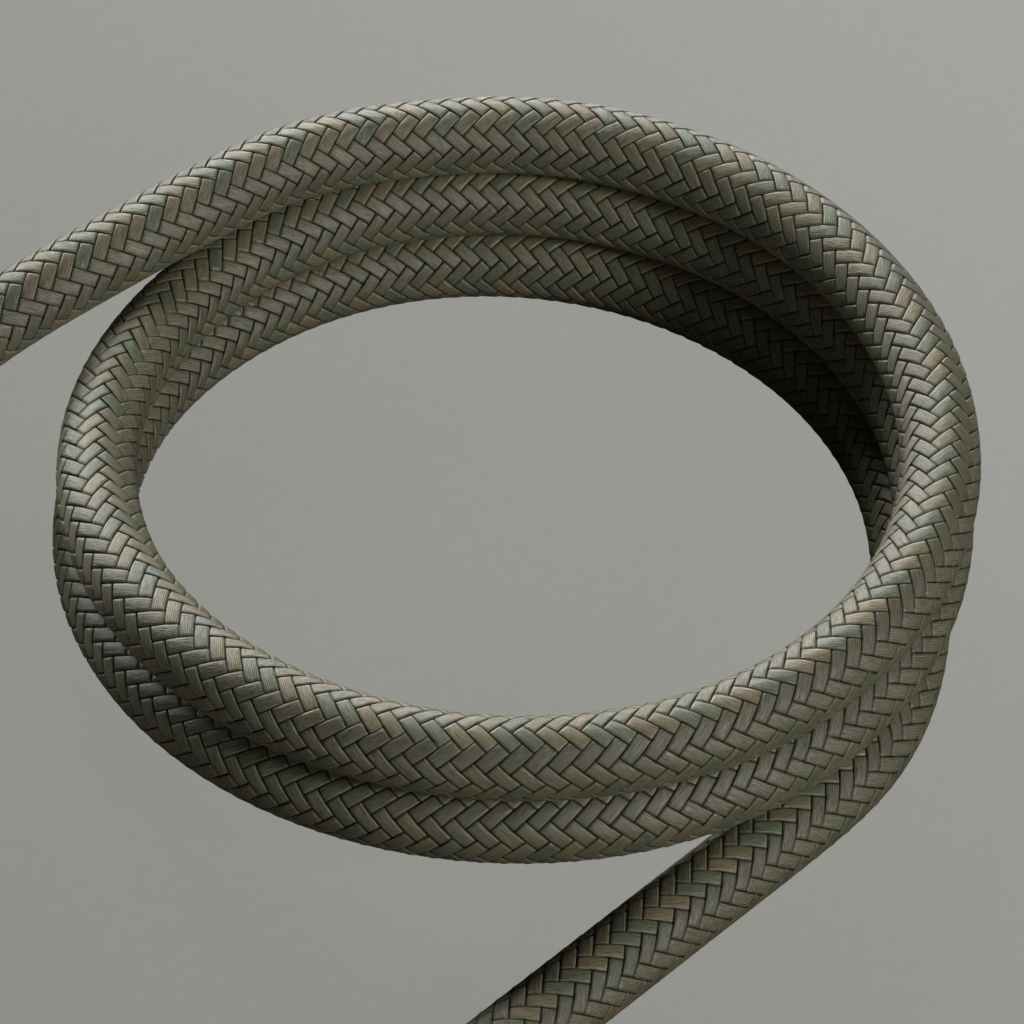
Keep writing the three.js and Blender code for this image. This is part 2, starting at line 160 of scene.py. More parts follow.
class Line:
    """The cord's centreline, with an upward and a sideways direction at each place along it."""

    def __init__(self):
        parts = [LEAD_ROUTE, main_coil(), TAIL_ROUTE, spare_coil(), END_ROUTE]
        curve = spline(np.concatenate(parts) * MM, ROUTE_STEPS)
        first, last = curve[0] - curve[1], curve[-1] - curve[-2]
        more = np.arange(1, ROUTE_EXTRA + 1)[:, None] * MM
        self.p = np.concatenate([
            curve[0] + first / np.linalg.norm(first) * more[::-1], curve,
            curve[-1] + last / np.linalg.norm(last) * more,
        ])
        run = np.linalg.norm(np.diff(self.p, axis=0), axis=1)
        self.s = np.concatenate([[0], np.cumsum(run)]) - ROUTE_EXTRA * MM
        self.length = self.s[-1] - ROUTE_EXTRA * MM
        along = np.gradient(self.p, self.s, axis=0)
        along /= np.linalg.norm(along, axis=1)[:, None]
        up = np.array([0, 0, 1.0]) - along[:, 2:] * along
        self.up = up / np.linalg.norm(up, axis=1)[:, None]
        self.out = np.cross(self.up, along)
        ends = np.cumsum([len(p) for p in parts])
        self.joins = [float(self.s[ROUTE_EXTRA + ROUTE_STEPS * int(i - 1)]) for i in ends[:-1]]

        slip = spline(BRAID_SLIP, 12)
        self.place = slip[:, 0] * MM
        self.pattern = self.place + slip[:, 1] * MM + BRAID_START
        self.twist = np.radians(slip[:, 2])

    def braid(self, n, angle, radius):
        """Points of the sleeve: n crossings along its pattern, at an angle round it."""
        s = np.interp(n * CROSSING, self.pattern, self.place)
        return self.at(s, angle - np.interp(s, self.place, self.twist), radius)

    def crossings(self, s):
        """How many crossings of the sleeve's pattern lie before a place along the cord."""
        return float(np.interp(s, self.place, self.pattern)) / CROSSING

    def at(self, s, angle, radius):
        """Points at an angle from the cord's top and a radius, at places s along it."""

        def read(values):
            return np.stack([np.interp(s, self.s, values[:, k]) for k in range(3)], axis=-1)

        across = np.cos(angle)[..., None] * read(self.up) + np.sin(angle)[..., None] * read(self.out)
        return read(self.p) + radius[..., None] * across


LINE = Line()

# ---- Small helpers ----


def colour(hex_code):
    """A linear colour from a hex code."""
    parts = [int(hex_code[i:i + 2], 16) / 255 for i in (0, 2, 4)]
    return [c / 12.92 if c <= 0.04045 else ((c + 0.055) / 1.055) ** 2.4 for c in parts]


def mesh_object(name, points, faces):
    """A smooth-shaded mesh from points and faces, put in the scene."""
    mesh = bpy.data.meshes.new(name)
    points = np.asarray(points, float).reshape(-1, 3)
    if isinstance(faces, np.ndarray):
        mesh.vertices.add(len(points))
        mesh.vertices.foreach_set("co", points.ravel())
        mesh.loops.add(faces.size)
        mesh.loops.foreach_set("vertex_index", faces.ravel())
        mesh.polygons.add(len(faces))
        mesh.polygons.foreach_set("loop_start", np.arange(len(faces)) * faces.shape[1])
        mesh.update(calc_edges=True)
    else:
        mesh.from_pydata(points.tolist(), [], faces)
    mesh.polygons.foreach_set("use_smooth", np.full(len(mesh.polygons), True))
    mesh.update()
    thing = bpy.data.objects.new(name, mesh)
    bpy.context.scene.collection.objects.link(thing)
    return thing


class Nodes:
    """A node material, built a node at a time."""

    def __init__(self, name):
        self.material = bpy.data.materials.new(name)
        self.material.use_nodes = True
        self.tree = self.material.node_tree
        self.shader = self.tree.nodes["Principled BSDF"]

    def add(self, kind, inputs=(), **settings):
        """A new node with its inputs and settings filled in."""
        node = self.tree.nodes.new(kind)
        for key, value in settings.items():
            setattr(node, key, value)
        for key, value in dict(inputs).items():
            self.put(node.inputs[key], value)
        return node

    def put(self, socket, value):
        """A link, a colour or a number into an input."""
        if isinstance(value, bpy.types.NodeSocket):
            self.tree.links.new(value, socket)
        elif hasattr(socket.default_value, "__len__") and len(socket.default_value) == 4:
            socket.default_value = [*value, 1][:4]
        else:
            socket.default_value = value

    def sum(self, operation, a, b=0.0, c=0.0):
        """One step of arithmetic."""
        return self.add("ShaderNodeMath", {0: a, 1: b, 2: c}, operation=operation).outputs[0]

    def mix(self, factor, a, b, blend="MIX"):
        """Two colours blended."""
        node = self.add("ShaderNodeMix", data_type="RGBA", blend_type=blend)
        self.put(node.inputs[0], factor)
        self.put(node.inputs[6], a)
        self.put(node.inputs[7], b)
        return node.outputs[2]

    def ramp(self, value, low, high, start=0.0, end=1.0):
        """value taken from the range low to high into the range start to end."""
        inputs = {"Value": value, "From Min": low, "From Max": high, "To Min": start, "To Max": end}
        return self.add("ShaderNodeMapRange", inputs).outputs[0]

    def noise(self, place, scale, detail, roughness=0.5):
        """Even noise about 0.5."""
        inputs = {"Vector": place, "Scale": scale, "Detail": detail, "Roughness": roughness}
        return self.add("ShaderNodeTexNoise", inputs).outputs["Fac"]

    def shaded(self, base, light):
        """A colour made lighter or darker from place to place."""
        grey = self.add("ShaderNodeCombineColor", {0: light, 1: light, 2: light}).outputs[0]
        return self.mix(1.0, base, grey, "MULTIPLY")

    def raise_by(self, height, distance, strength=1.0):
        """Unevenness too fine for the mesh, from a height between 0 and 1."""
        inputs = {"Strength": strength, "Distance": distance, "Height": height}
        self.set(normal=self.add("ShaderNodeBump", inputs).outputs[0])

    def set(self, **values):
        """Values or links into the shader's own inputs."""
        for key, value in values.items():
            self.put(self.shader.inputs[key.replace("_", " ").title()], value)


# ---- Camera: its values come from a fit of the coil's outline to the photograph ----

ELEVATION = math.radians(47.49)
ROLL = math.radians(4.19)
DISTANCE = 0.3471  # from the camera to the place it looks at
LENS = 196.37
LOOKS_AT = Vector((0.15, -1.81, 0)) * MM  # from the middle of the main coil


def add_camera():
    """A long lens that looks down at the coil from the front, tilted a little to one side."""
    low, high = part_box("cord_main_coil")
    target = (low + high) / 2 + LOOKS_AT
    forward = Vector((0, math.cos(ELEVATION), -math.sin(ELEVATION)))
    right = Vector((1, 0, 0))
    up = right.cross(forward)
    tilted_right = right * math.cos(ROLL) + up * math.sin(ROLL)
    tilted_up = up * math.cos(ROLL) - right * math.sin(ROLL)
    camera = bpy.data.objects.new("camera", bpy.data.cameras.new("camera"))
    axes = Matrix((tilted_right, tilted_up, -forward)).transposed().to_4x4()
    camera.matrix_world = Matrix.Translation(target - forward * DISTANCE) @ axes
    camera.data.lens = LENS
    camera.data.sensor_width = 36
    camera.data.clip_start = 0.01
    camera.data.clip_end = 10
    bpy.context.scene.collection.objects.link(camera)
    bpy.context.scene.camera = camera


# ---- Cord ----

JACKET_SIDES = 16
JACKET_RINGS = 2.5  # rings in one diameter of length


def add_jacket():
    """The cord's inner jacket, which fills the braid."""
    s = np.linspace(-END_RUN, LINE.length + END_RUN, int(LINE.length / CORD * JACKET_RINGS))
    angle = np.linspace(0, 2 * np.pi, JACKET_SIDES, endpoint=False)
    grid_s, grid_a = np.meshgrid(s, angle, indexing="ij")
    points = LINE.at(grid_s, grid_a, np.full(grid_s.shape, JACKET_RADIUS))
    ring = np.arange(len(s) - 1)[:, None] * JACKET_SIDES
    side = np.arange(JACKET_SIDES)
    after = (side + 1) % JACKET_SIDES
    here, there = ring + side, ring + after
    quads = np.stack([here, there, there + JACKET_SIDES, here + JACKET_SIDES], -1)
    faces = [tuple(q) for q in quads.reshape(-1, 4).tolist()]
    faces += [tuple(range(JACKET_SIDES))[::-1]]
    faces += [tuple(range((len(s) - 1) * JACKET_SIDES, len(s) * JACKET_SIDES))]
    jacket = mesh_object("cord_jacket", points, faces)
    path = LINE.at(s, np.zeros(len(s)), np.zeros(len(s)))
    return jacket, path


# A yarn's section as (place across its width, height in thicknesses), over its top and back beneath.
FINE_SECTION = [(-0.5, -0.1), (-0.465, 0.36), (-0.3, 0.5), (0.3, 0.5), (0.465, 0.36), (0.5, -0.1)]
PLAIN_SECTION = [(-0.5, 0.0), (-0.4, 0.46), (0.4, 0.46), (0.5, 0.0)]
UNDERSIDE = [(0.4, -0.5), (-0.4, -0.5)]
PERIOD = 4  # crossings from one rise of a yarn to the next
DEEP = 2.5  # crossings to the middle of a yarn's hidden stretch, where it may be cut
FINE_RINGS = [DEEP, 3.4, 3.6, 3.75, 4.5, 5.25, 5.4, 5.6]  # crossings; 3.5 to 5.5 shows, the rest is under
PLAIN_RINGS = [DEEP, 3.3, 3.7, 4.5, 5.3, 5.7]
SHADE_SPREAD = 0.05  # how much the cells differ in brightness
PAINTED_LEAN_SHEEN = (0.87, 1.09)  # painted sheen: brightness of the cells in even and in odd columns, which lean opposite ways and so catch the light differently
SPREAD_COLUMNS, SPREAD_ROWS = 64, 1024  # cells before the differences repeat


def weave(phase):
    """A yarn's height over the middle of the braid, in weave depths: it is over from -0.5 to 1.5."""
    wave = np.sin(np.pi * (phase + 0.5) / 2)
    return np.clip(STEEPNESS * wave, -1, 1) + FLOAT_RISE * np.clip(wave, 0, 1) ** 2


def yarn(hand, carrier, first, last, section, rings, tint):
    """One yarn between two places along the cord, in crossings, cut where it is hidden.

    Gives its points, their colours, each point's place across it, and each ring's phase.
    """
    shift = carrier if hand > 0 else 3 - carrier

    def period_of(place):
        centre = place + carrier if hand > 0 else place - carrier
        return round((centre + shift - DEEP) / PERIOD)

    periods = np.arange(period_of(first), period_of(last))
    phase = (periods[:, None] * PERIOD + np.array(rings)).ravel()
    phase = np.append(phase, periods[-1] * PERIOD + DEEP + PERIOD)
    turn = phase - shift
    loop = section + UNDERSIDE
    across = np.array([w for w, _ in loop])
    height = np.array([h for _, h in loop])
    t, w = np.meshgrid(turn, across * YARN_WIDTH, indexing="ij")
    u, v = (t, w - carrier) if hand > 0 else (carrier + w, t)
    n, m = u + v, u - v
    radius = BRAID_RADIUS + WEAVE_DEPTH * weave(phase)[:, None] + YARN_THICKNESS * height
    points = LINE.braid(n, np.radians(CELL_ANGLE * (m - TOP_CELL)), radius)
    middle = np.repeat(periods * PERIOD + PERIOD + 0.5, len(rings)) - shift
    middle = np.append(middle, middle[-1])
    if hand > 0:
        centre_n, centre_m = middle - carrier, middle + carrier
    else:
        centre_n, centre_m = carrier + middle, carrier - middle
    column = np.round((centre_m - 0.5) / 2).astype(int)
    row = np.floor(centre_n / 2).astype(int)
    return points, tint(column, row), across, phase


def braid_tint(rng):
    """Colours of the braid's cells: brown and green in two columns of every four, grey in the others."""
    brown, green = colour("786f53"), colour("676c55")
    greys = [colour("6b6952"), colour("696750"), colour("6d6b55")]
    table = {
        0: [green, brown, brown, brown],
        1: [green, brown, brown, green],
        2: [greys[0], greys[1], greys[0], greys[2]],
        3: [greys[1], greys[0], greys[2], greys[0]],
    }
    tone_and_sheen = rng.normal(1, SHADE_SPREAD, (SPREAD_COLUMNS, SPREAD_ROWS))
    # Painted sheen: cells in even columns are made darker and those in odd columns lighter, for the sheen
    # that falls differently on the two ways the yarns lean.
    tone_and_sheen *= np.array(PAINTED_LEAN_SHEEN)[np.arange(SPREAD_COLUMNS) % 2][:, None]

    def tint(column, row):
        base = np.array([table[c % 4][r % 4] for c, r in zip(column, row)])
        return base * tone_and_sheen[column % SPREAD_COLUMNS, row % SPREAD_ROWS][:, None]

    return tint


def strip_faces(long, top, wide, hand):
    """Quads of one closed strip, facing out: its sides, then its two ends."""
    ring = np.arange(long - 1)[:, None] * wide
    here = np.arange(wide)
    after = (here + 1) % wide
    quads = np.stack([ring + here, ring + wide + here, ring + wide + after, ring + after], -1)
    faces = np.concatenate([quads.reshape(-1, 4), end_faces(top, wide, (long - 1) * wide)])
    return faces if hand > 0 else faces[:, ::-1]


def end_faces(top, wide, last):
    """Quads that close both ends of a strip, from the pairs of corners that face each other across it."""
    half = top // 2
    left = np.arange(half - 1, half - wide // 2 - 1, -1) % wide
    right = np.arange(half, half + wide // 2) % wide
    cap = np.stack([left[:-1], right[:-1], right[1:], left[1:]], 1)
    return np.concatenate([cap[:, ::-1], cap + last])


def add_braid(name, first, last, fine, tint):
    """The woven sleeve between two places along the cord: every yarn is a closed strip of its own."""
    section = FINE_SECTION if fine else PLAIN_SECTION
    rings = FINE_RINGS if fine else PLAIN_RINGS
    wide = len(section) + len(UNDERSIDE)
    start, stop = LINE.crossings(first), LINE.crossings(last)
    stops = squeeze(np.append(rings, DEEP + PERIOD))
    points, faces, shades, places, patches = [], [], [], [], []
    count = cell = 0
    for hand in (1, -1):
        for carrier in range(CARRIERS):
            p, shade, across, phase = yarn(hand, carrier, start, stop, section, rings, tint)
            long = len(phase)
            number = float(carrier + 31 * (hand > 0))  # gives each yarn a grain of its own
            place = np.stack(np.broadcast_arrays(across, phase[:, None], number), -1)
            points.append(p.reshape(-1, 3))
            faces.append(strip_faces(long, len(section), wide, hand) + count)
            shades.append(np.repeat(shade, wide, 0))
            places.append(place.reshape(-1, 3))
            count += long * wide
            in_cell = np.arange(long - 1) % len(rings)
            cell_of = cell + np.arange(long - 1) // len(rings)
            patches.append((cell_of, stops[in_cell], stops[in_cell + 1], hand))
            cell = int(cell_of[-1]) + 1
    braid = mesh_object(name, np.concatenate(points), np.concatenate(faces))
    lay_out(braid, patches, cell, section)
    colours = np.column_stack([np.concatenate(shades), np.ones(count)])
    for key, kind, field, values in (
        ("yarn_colour_and_sheen", "FLOAT_COLOR", "color", colours),
        ("yarn_place", "FLOAT_VECTOR", "vector", np.concatenate(places)),
    ):
        attribute = braid.data.attributes.new(key, kind, "POINT")
        attribute.data.foreach_set(field, values.astype(np.float32).ravel())
    return braid


def squeeze(phase):
    """Place along a cell's patch of the texture: nearly all of it goes to the part that shows."""
    return np.interp(phase, [DEEP, 3.3, 5.7, DEEP + PERIOD], [0.03, 0.08, 0.92, 0.97])


PATCH_TOP = (0.06, 0.86)  # share of a patch's width that a yarn's upper side takes
PATCH_SIDES = (0.04, 0.88, 0.91, 0.95, 0.98)  # where its first edge, and the corners after its top, lie
PATCH_GAP = 0.02  # left free at each end of a patch


def lay_out(braid, patches, cells, section):
    """A texture layout with one patch for each rise of each yarn."""
    columns = max(1, round(math.sqrt(cells / 2)))
    rows = -(-cells // columns)
    wide = len(section) + len(UNDERSIDE)
    top = np.interp([w for w, _ in section[1:-1]], [-0.5, 0.5], PATCH_TOP)
    edge = np.array([PATCH_SIDES[0], *top, *PATCH_SIDES[1:]])
    all_uv = []
    for cell_of, low, high, hand in patches:
        column, row = cell_of % columns, cell_of // columns
        start = (column + PATCH_GAP + (1 - 2 * PATCH_GAP) * low) / columns
        stop = (column + PATCH_GAP + (1 - 2 * PATCH_GAP) * high) / columns
        v0 = (row[:, None] + edge[:wide]) / rows
        v1 = (row[:, None] + edge[1:]) / rows
        a, b = (np.broadcast_to(x[:, None], v0.shape) for x in (start, stop))
        corners = [(a, v0), (b, v0), (b, v1), (a, v1)]
        if hand < 0:
            corners = corners[::-1]
        patch = np.stack([np.stack(c, -1) for c in corners], 2).reshape(-1, 2)
        caps = np.full((4 * (wide - 2), 2), [0.5 / columns, 0.99 / rows])
        all_uv.append(np.concatenate([patch, caps]))
    layer = braid.data.uv_layers.new(name="OFBake")
    layer.data.foreach_set("uv", np.concatenate(all_uv).astype(np.float32).ravel())


FIBRES = (24.0, 1.6, 3.7)  # noise cells in a yarn's width, in one crossing, and from yarn to yarn
YARN_ENDS = 8  # threads side by side in one yarn
END_WANDER = 5.0  # how far they stray, in radians of that pattern
END_LIGHT, FIBRE_LIGHT = 0.13, 0.6  # how strongly the threads and their fibres show
SIDE_EDGE = (0.458, 0.495)  # where painted shade darkens a yarn towards its sides, in widths from its middle
END_EDGE = (0.905, 0.975)  # where painted shade darkens it towards the ends of a float, in crossings from its middle
# How dark the painted shade in the grooves between yarns gets.
GROOVE_SHADE_LEVEL = 0.05


def braid_material():
    """Glossy threads that run along each yarn, with shade painted where it dips under its neighbours."""
    made = Nodes("woven_yarn")
    tint = made.add("ShaderNodeAttribute", attribute_name="yarn_colour_and_sheen").outputs["Color"]
    place = made.add("ShaderNodeAttribute", attribute_name="yarn_place").outputs["Vector"]
    across, along = made.add("ShaderNodeSeparateXYZ", {0: place}).outputs[:2]
    stretched = made.add("ShaderNodeVectorMath", {0: place, 1: FIBRES}, operation="MULTIPLY").outputs[0]
    grain = made.noise(stretched, 1.0, 1.5)
    stray = made.sum("MULTIPLY", grain, END_WANDER)
    ends = made.sum("SINE", made.sum("MULTIPLY_ADD", across, 2 * math.pi * YARN_ENDS, stray))
    fibres = made.sum("MULTIPLY_ADD", grain, FIBRE_LIGHT, (1 - FIBRE_LIGHT) / 2)
    light = made.ramp(made.sum("MULTIPLY_ADD", ends, END_LIGHT, fibres), 0.38, 0.62, 0.45, 1.55)
    from_side = made.sum("ABSOLUTE", across)
    from_middle = made.sum("PINGPONG", made.sum("SUBTRACT", along, 0.5), PERIOD / 2)
    # Painted shade: the colour darkens in the grooves at each yarn's sides and where it dives under its
    # neighbours at a float's ends.
    painted_side_shade = made.ramp(from_side, *SIDE_EDGE, 1.0, GROOVE_SHADE_LEVEL)
    painted_end_shade = made.ramp(from_middle, *END_EDGE, 1.0, GROOVE_SHADE_LEVEL)
    groove = made.sum("MULTIPLY", painted_side_shade, painted_end_shade)
    made.set(base_color=made.shaded(tint, made.sum("MULTIPLY", groove, light)))
    gloss = made.ramp(grain, 0.3, 0.7, 0.46, 0.36)
    made.set(roughness=made.sum("MAXIMUM", gloss, made.ramp(from_side, 0.42, 0.47, 0.3, 1.0)))
    along_yarn = made.add("ShaderNodeTangent", direction_type="UV_MAP", uv_map="OFBake")
    made.set(tangent=along_yarn.outputs[0])
    made.raise_by(grain, 0.06 * MM, 0.55)
    made.shader.inputs["Anisotropic"].default_value = 0.75
    made.shader.inputs["Sheen Weight"].default_value = 0.05
    made.shader.inputs["Sheen Roughness"].default_value = 0.4
    made.shader.inputs["Specular IOR Level"].default_value = 0.75
    return made.material


def jacket_material():
    """A dull extruded jacket, which only shows as the dark in the braid's gaps."""
    made = Nodes("inner_jacket")
    grain = made.noise(millimetres(made), 5.0, 3.0)
    made.set(base_color=made.shaded(colour("15140f"), made.ramp(grain, 0.3, 0.7, 0.7, 1.3)))
    made.set(roughness=made.ramp(grain, 0.3, 0.7, 0.7, 0.9))
    made.raise_by(grain, 0.01 * MM)
    return made.material


MAIN_STRETCHES = 2.44  # lengths of braid in the main coil: two of just under a turn, and the rest


def add_cord():
    """The whole cord: its inner jacket, and the braid over it in stretches."""
    jacket, path = add_jacket()
    jacket.data.materials.append(jacket_material())
    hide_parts("cord_lead", "cord_main_coil", "cord_tail", "cord_spare_coil", "cord_end")
    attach(jacket, "root")
    lead, coil, tail, spare = LINE.joins
    turn = (coil - lead) / MAIN_STRETCHES
    middle = (tail + spare) / 2
    stretches = [
        ("braid_lead", -BRAID_RUN, lead, True),
        ("braid_main_coil_top", lead, lead + turn, True),
        ("braid_main_coil_middle", lead + turn, lead + 2 * turn, True),
        ("braid_main_coil_bottom", lead + 2 * turn, coil, True),
        ("braid_tail", coil, tail, True),
        ("braid_spare_coil_lower", tail, middle, False),
        ("braid_spare_coil_upper", middle, spare, False),
        ("braid_end", spare, LINE.length + BRAID_RUN, False),
    ]
    tint = braid_tint(np.random.default_rng(SEED))
    look = braid_material()
    braids = []
    for name, first, last, fine in stretches:
        braid = add_braid(name, first, last, fine, tint)
        braid.data.materials.append(look)
        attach(braid, "root")
        braids.append(braid)
    return jacket, path, braids


# ---- Shapes for the plugs and the tie ----

CORNER_POINTS = 10


def rounded(width, height, corner):
    """A rounded rectangle as points across and up, anticlockwise, in millimetres."""
    corner = min(corner, width / 2 - 0.01, height / 2 - 0.01)
    points = []
    for quarter in range(4):
        side = 1 if quarter in (0, 3) else -1
        level = 1 if quarter < 2 else -1
        turn = np.radians(np.linspace(90 * quarter, 90 * quarter + 90, CORNER_POINTS))
        across = side * (width / 2 - corner) + corner * np.cos(turn)
        points.append(np.column_stack([across, level * (height / 2 - corner) + corner * np.sin(turn)]))
    return np.concatenate(points)


def loft(name, rings, place):
    """A body through rings of (place along the plug, points across and up), the last joined to the first."""
    points = np.array([[(x, y, z) for y, z in ring] for x, ring in rings]) * MM
    count, wide = points.shape[:2]
    flat = [place @ Vector(p) for p in points.reshape(-1, 3)]
    faces = []
    for i in range(count):
        a, b = i * wide, (i + 1) % count * wide
        faces += [(a + k, a + (k + 1) % wide, b + (k + 1) % wide, b + k) for k in range(wide)]
    thing = mesh_object(name, flat, faces)
    tidy = bmesh.new()
    tidy.from_mesh(thing.data)
    bmesh.ops.recalc_face_normals(tidy, faces=tidy.faces)
    tidy.to_mesh(thing.data)
    tidy.free()
    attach(thing, "root")
    return thing


def round_edge(edge, steps):
    """A quarter round as (run from the end, inset), from the outside to the end."""
    turn = np.radians(np.linspace(0, 90, steps))
    return [(edge * (1 - np.sin(a)), edge * (1 - np.cos(a))) for a in turn]


def shell_rings(start, stop, width, height, corner, wall, edge):
    """Rings of a hollow sleeve with rounded lips: out along its outside and back along its inside."""
    lip = round_edge(edge, 5)
    profile = [(start + run, inset) for run, inset in lip[::-1]]
    profile += [(start + edge + (stop - start - 2 * edge) * k / 8, 0) for k in range(1, 8)]
    profile += [(stop - run, inset) for run, inset in lip]
    bevel = edge / 2
    profile += [(stop, wall - bevel), (stop - bevel, wall), (start + bevel, wall), (start, wall - bevel)]
    return [(x, rounded(width - 2 * i, height - 2 * i, corner - i)) for x, i in profile]


def plate_rings(start, stop, width, height, corner, hole, edge):
    """Rings of a flat cap with a rounded rim and a hole through it."""
    hole_width, hole_height, hole_corner = hole
    rim = round_edge(edge, 4)
    profile = [(start + run, inset) for run, inset in rim[::-1]]
    profile += [(stop - run, inset) for run, inset in rim]
    rings = [(x, rounded(width - 2 * i, height - 2 * i, corner - i)) for x, i in profile]
    rings.append((stop, rounded(width - 4 * edge, height - 4 * edge, corner - 2 * edge)))
    lip = edge / 2
    for x, more in ((stop, 2 * lip), (stop - lip, 0), (start + lip, 0), (start, 2 * lip)):
        rings.append((x, rounded(hole_width + more, hole_height + more, hole_corner + more / 2)))
    rings.append((start, rounded(width - 4 * edge, height - 4 * edge, corner - 2 * edge)))
    return rings


# ---- Plugs: sizes in millimetres along each plug's own axis, from the cord's end ----

HOUSING = (12.4, 7.2, 3.3)  # width, height, corner
RELIEF_LENGTH, RELIEF_BORE = 9.85, 2.56
RELIEF_RADII = (2.78, 3.3)
RELIEF_RINGS = 130
RELIEF_EDGE = 0.25
RIBS, RIB_PITCH, RIB_START, RIB_HEIGHT = 5, 1.75, 0.75, 0.26
REAR_CAP, REAR_CAP_EDGE = (9.95, 11.3), 0.3
SLEEVE, SLEEVE_WALL, SLEEVE_EDGE = (11.42, 31.62), 0.7, 0.28
BEZEL, BEZEL_EDGE = (31.74, 33.0), 0.35
SHELL, SHELL_WIDTH, SHELL_HEIGHT, SHELL_WALL, SHELL_EDGE = (27.2, 39.65), 8.25, 2.4, 0.3, 0.13
SHELL_FIT = 0.16  # how much wider the bezel's opening is than the shell


def plug_place(name):
    """The plug's own frame: origin where the cord goes in, X towards its tip."""
    low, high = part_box(name + "_strain_relief")
    tip_low, tip_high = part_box(name + "_plug_shell")
    forward = tip_low.y > low.y
    turn = math.radians(90 if forward else -90)
    origin = (tip_low + tip_high) / 2
    origin.y = low.y if forward else high.y
    return Matrix.Translation(origin) @ Matrix.Rotation(turn, 4, "Z")


def relief_rings():
    """A soft boot with rounded ribs, thicker towards the plug."""
    x = np.linspace(0, RELIEF_LENGTH, RELIEF_RINGS)
    start, stop = RELIEF_RADII
    radius = start + (stop - start) * (x / RELIEF_LENGTH) ** 1.3
    step = (x - RIB_START) / RIB_PITCH
    groove = np.clip((np.cos(2 * np.pi * step) - 0.55) / 0.35, 0, 1)
    groove = np.where((step > -0.3) & (step < RIBS - 0.3), groove, 0)
    radius = radius - RIB_HEIGHT * groove
    for end in (0, RELIEF_LENGTH):
        near = np.clip(1 - np.abs(x - end) / RELIEF_EDGE, 0, 1)
        radius = radius - RELIEF_EDGE * (1 - np.sqrt(1 - near**2))
    rings = [(a, rounded(2 * r, 2 * r, r)) for a, r in zip(x, radius)]
    bore = 2 * RELIEF_BORE
    for end, wider in ((RELIEF_LENGTH, 0), (0.15, 0), (0, 0.12)):
        rings.append((end, rounded(bore + wider, bore + wider, RELIEF_BORE)))
    return rings


def add_plug(name, looks):
    """The plug's outer pieces, each in place of its CAD node."""
    place = plug_place(name)
    cord_hole = (2 * RELIEF_BORE, 2 * RELIEF_BORE, RELIEF_BORE)
    shell_hole = (SHELL_WIDTH + SHELL_FIT, SHELL_HEIGHT + SHELL_FIT, SHELL_HEIGHT / 2)
    shell = (SHELL_WIDTH, SHELL_HEIGHT, SHELL_HEIGHT / 2)
    made = {
        "strain_relief": (relief_rings(), "dark_rubber"),
        "rear_cap": (plate_rings(*REAR_CAP, *HOUSING, cord_hole, REAR_CAP_EDGE), "black_plastic"),
        "housing_sleeve": (shell_rings(*SLEEVE, *HOUSING, SLEEVE_WALL, SLEEVE_EDGE), "housing_metal"),
        "front_bezel": (plate_rings(*BEZEL, *HOUSING, shell_hole, BEZEL_EDGE), "black_plastic"),
        "plug_shell": (shell_rings(*SHELL, *shell, SHELL_WALL, SHELL_EDGE), "steel"),
    }
    pieces = []
    for part, (rings, slot) in made.items():
        piece = loft(f"{name}_{part}_finished", rings, place)
        piece.data.materials.append(looks[slot])
        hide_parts(f"{name}_{part}")
        pieces.append(piece)
    return pieces


def dress_cad_nodes(looks):
    """Each CAD node that still shows gets the look of its material slot."""
    slots = {row["node"]: row["material_slot"] for row in frame["record"]["subparts"]}
    for name, node in frame["nodes"].items():
        if not node.hide_render:
            node.data.materials.clear()
            node.data.materials.append(looks[slots[name]])


# ---- Tie ----

TIE_WIDTH, TIE_THICKNESS = 8.0, 0.5
TIE_SLACK = 0.12  # between the strap and the cord
TIE_LAP = 9.0  # how far the strap's end laps over its start
TIE_LAP_RISE, TIE_LAP_RUN = 1.08, 2.2  # thicknesses that the end stands off, and the length it rises over
TIE_START = 0.35  # where the strap starts, as a share of its straight side
TIE_RINGS = 260
# The strap's section, with its raised selvedges, as shares of half its width and of its thickness.
TIE_SECTION = [
    (-1, 0), (-0.985, 0.35), (-0.94, 0.55), (-0.88, 0.5), (-0.5, 0.5), (0, 0.5), (0.5, 0.5), (0.88, 0.5),
    (0.94, 0.55), (0.985, 0.35), (1, 0), (0.97, -0.45), (0.5, -0.5), (0, -0.5), (-0.5, -0.5), (-0.97, -0.45),
]


def tie_path():
    """The strap's middle line round the stack of turns, and its outward direction at each place."""
    low = THICK / 2 + TIE_LIFT
    side = 2 * THICK
    high = low + side
    near = THICK / 2 + TIE_SLACK + TIE_THICKNESS / 2
    arc = math.pi * near
    once = 2 * (side + arc)
    s = np.linspace(0, once + TIE_LAP, TIE_RINGS)
    lift = TIE_THICKNESS * TIE_LAP_RISE * ease((s - once + TIE_LAP_RUN) / TIE_LAP_RUN)
    at = (s + side * TIE_START) % once
    out, up, normal_out, normal_up = (np.zeros(len(s)) for _ in range(4))
    for k, a in enumerate(at):
        if a < side:  # up the outer side
            out[k], up[k], normal_out[k], normal_up[k] = near, low + a, 1, 0
        elif a < side + arc:  # over the top
            turn = (a - side) / near
            normal_out[k], normal_up[k] = math.cos(turn), math.sin(turn)
            out[k], up[k] = near * normal_out[k], high + near * normal_up[k]
        elif a < 2 * side + arc:  # down the inner side
            out[k], up[k], normal_out[k], normal_up[k] = -near, high - (a - side - arc), -1, 0
        else:  # back underneath
            turn = math.pi + (a - 2 * side - arc) / near
            normal_out[k], normal_up[k] = math.cos(turn), math.sin(turn)
            out[k], up[k] = near * normal_out[k], low + near * normal_up[k]
    return s, out + lift * normal_out, up + lift * normal_up, normal_out, normal_up


